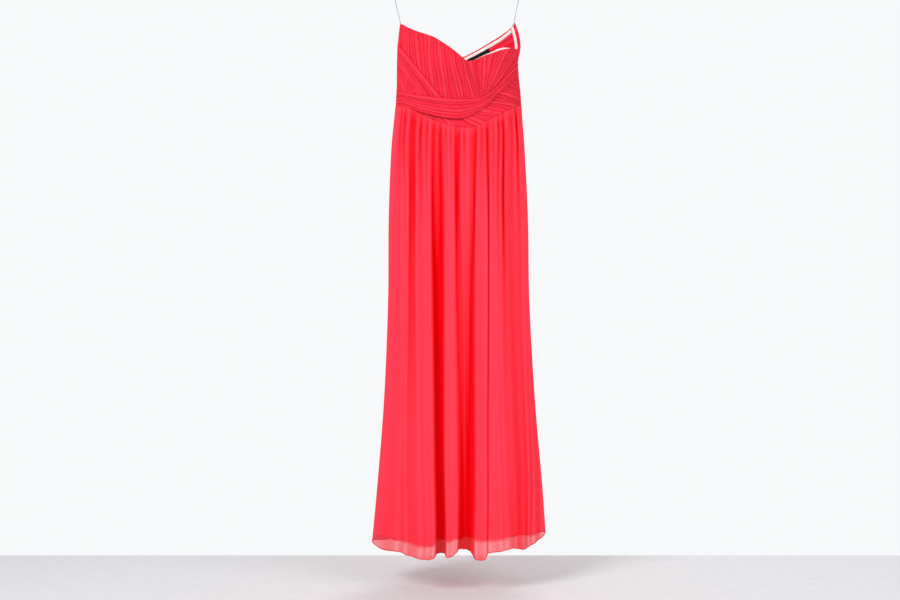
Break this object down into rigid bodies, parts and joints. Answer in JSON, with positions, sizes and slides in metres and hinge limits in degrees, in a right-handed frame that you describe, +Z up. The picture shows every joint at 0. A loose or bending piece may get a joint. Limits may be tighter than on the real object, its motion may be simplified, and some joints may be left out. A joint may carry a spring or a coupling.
{
  "type": "strapless dress",
  "caption": "Floor-length strapless dress with a pleated wrap bodice, a gathered chiffon skirt over a lining, and ribbon hanging loops.",
  "frame": {"origin": "midway between the tops of the two hanging loops, where the dress is held up", "axes": "+Z up, +X to the dress's left side, -Y to its front"},
  "size_m": [0.4555, 0.2192, 1.4713],
  "materials": {
    "bodice_cloth": "pleated crepe chiffon, matt",
    "chiffon": "sheer crepe chiffon, matt",
    "lining": "opaque satin-backed lining",
    "grip_tape": "woven tape with a soft grip face",
    "label_cloth": "plain woven satin",
    "loop_ribbon": "narrow satin ribbon",
    "zip_metal": "zip slider painted to match the cloth"
  },
  "bodies": {
    "dress": {"cup_right": "bodice_cloth", "cup_left": "bodice_cloth", "drape_right": "bodice_cloth", "wrap_band": "bodice_cloth", "under_wrap": "bodice_cloth", "back_left": "bodice_cloth", "back_right": "bodice_cloth", "skirt_front": "chiffon", "skirt_back": "chiffon", "lining_front": "lining", "lining_back": "lining", "tape_back_left": "grip_tape", "tape_back_right": "grip_tape", "tape_side_left": "grip_tape", "tape_front_left": "grip_tape", "tape_front_right": "grip_tape", "label": "label_cloth", "loop_right": "loop_ribbon", "loop_left": "loop_ribbon", "zip_slider": "zip_metal"},
    "zip_pull": {"zip_pull": "zip_metal"}
  },
  "joints": [
    {"name": "zip_pull_swing", "type": "hinge", "parent": "dress", "child": "zip_pull", "pos_m": [0, 0.08064, -0.18735], "axis": [1, 0, 0], "range_deg": [0, 130]}
  ]
}
